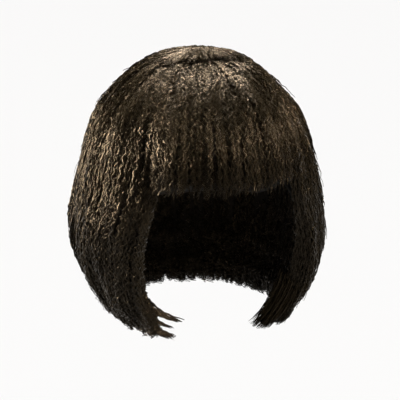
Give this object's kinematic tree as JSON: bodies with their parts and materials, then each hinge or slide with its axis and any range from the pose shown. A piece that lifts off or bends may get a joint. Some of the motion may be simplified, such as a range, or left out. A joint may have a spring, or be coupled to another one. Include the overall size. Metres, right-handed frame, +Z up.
{
  "type": "bob wig",
  "caption": "Chin-length bob wig with a full straight fringe and a rounded crown: sections of hair on a thin stretch cap, open below and in front for the head.",
  "frame": {"origin": "the point inside the cap, on its axis, where the top of the head bears", "axes": "+Z up, -Y the way the face looks, +X towards the wearer's left"},
  "size_m": [0.2146, 0.219, 0.2343],
  "materials": {
    "hair": "black synthetic hair with a soft crimp and a low sheen",
    "cap_net": "matt stretch net with a bound edge"
  },
  "bodies": {
    "root": {"wig_cap": "cap_net", "crown_hair": "hair", "fringe": "hair", "side_hair_right": "hair", "side_hair_left": "hair", "back_hair": "hair"}
  },
  "joints": []
}
